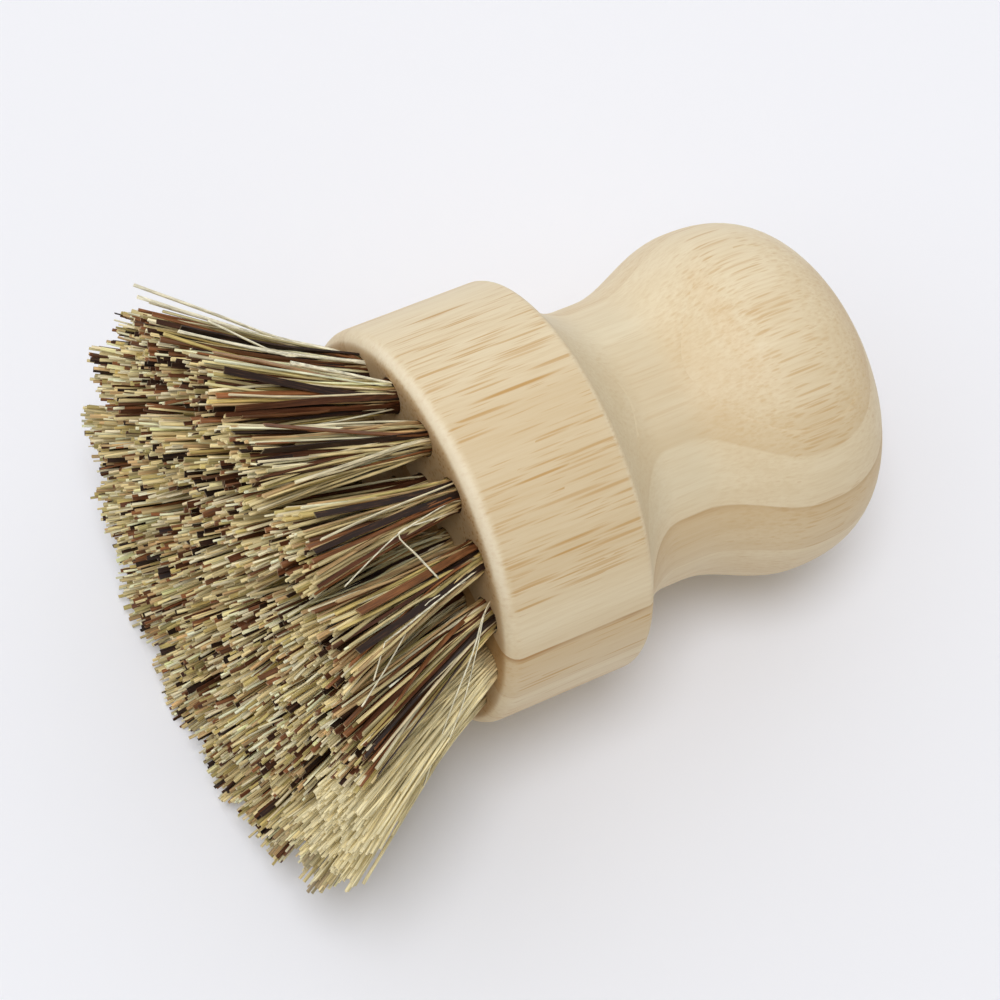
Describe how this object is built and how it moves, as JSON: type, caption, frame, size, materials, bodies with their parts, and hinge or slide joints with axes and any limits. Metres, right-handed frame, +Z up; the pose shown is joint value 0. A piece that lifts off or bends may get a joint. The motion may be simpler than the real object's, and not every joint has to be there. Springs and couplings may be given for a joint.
{
  "type": "pot brush",
  "caption": "Palm-size pot brush with a turned bamboo handle, glued up from boards, and stiff plant-fibre tufts set in its round head.",
  "frame": {"origin": "on the surface that the brush lies on, under the middle of its length and its width", "axes": "+Z up with the brush lying on its side, +X level along the brush towards the knob, +Y to its left; the brush's own axis lies in the XZ plane, raised towards the bristles"},
  "size_m": [0.0918, 0.071, 0.0642],
  "materials": {
    "bamboo": "sanded bare bamboo, pale, with fine brown dashes along the grain",
    "plant_fibre": "stiff dry palm and grass fibre, mixed straw, tan, red-brown and near black, cut square",
    "anchor_steel": "plain flattened wire"
  },
  "bodies": {
    "root": {"bamboo_board_1_head": "bamboo", "bamboo_board_1_knob": "bamboo", "bamboo_board_2": "bamboo", "bamboo_board_3": "bamboo", "bamboo_board_4": "bamboo", "bamboo_board_5": "bamboo", "bamboo_board_6": "bamboo", "bamboo_board_7_head": "bamboo", "bamboo_board_7_knob": "bamboo", "tuft_outer_01": "plant_fibre", "tuft_outer_02": "plant_fibre", "tuft_outer_03": "plant_fibre", "tuft_outer_04": "plant_fibre", "tuft_outer_05": "plant_fibre", "tuft_outer_06": "plant_fibre", "tuft_outer_07": "plant_fibre", "tuft_outer_08": "plant_fibre", "tuft_outer_09": "plant_fibre", "tuft_outer_10": "plant_fibre", "tuft_outer_11": "plant_fibre", "tuft_outer_12": "plant_fibre", "tuft_outer_13": "plant_fibre", "tuft_outer_14": "plant_fibre", "tuft_outer_15": "plant_fibre", "tuft_outer_16": "plant_fibre", "tuft_outer_17": "plant_fibre", "tuft_middle_01": "plant_fibre", "tuft_middle_02": "plant_fibre", "tuft_middle_03": "plant_fibre", "tuft_middle_04": "plant_fibre", "tuft_middle_05": "plant_fibre", "tuft_middle_06": "plant_fibre", "tuft_middle_07": "plant_fibre", "tuft_middle_08": "plant_fibre", "tuft_middle_09": "plant_fibre", "tuft_middle_10": "plant_fibre", "tuft_middle_11": "plant_fibre", "tuft_middle_12": "plant_fibre", "tuft_inner_01": "plant_fibre", "tuft_inner_02": "plant_fibre", "tuft_inner_03": "plant_fibre", "tuft_inner_04": "plant_fibre", "tuft_inner_05": "plant_fibre", "anchor_outer_01": "anchor_steel", "anchor_outer_02": "anchor_steel", "anchor_outer_03": "anchor_steel", "anchor_outer_04": "anchor_steel", "anchor_outer_05": "anchor_steel", "anchor_outer_06": "anchor_steel", "anchor_outer_07": "anchor_steel", "anchor_outer_08": "anchor_steel", "anchor_outer_09": "anchor_steel", "anchor_outer_10": "anchor_steel", "anchor_outer_11": "anchor_steel", "anchor_outer_12": "anchor_steel", "anchor_outer_13": "anchor_steel", "anchor_outer_14": "anchor_steel", "anchor_outer_15": "anchor_steel", "anchor_outer_16": "anchor_steel", "anchor_outer_17": "anchor_steel"}
  },
  "joints": []
}
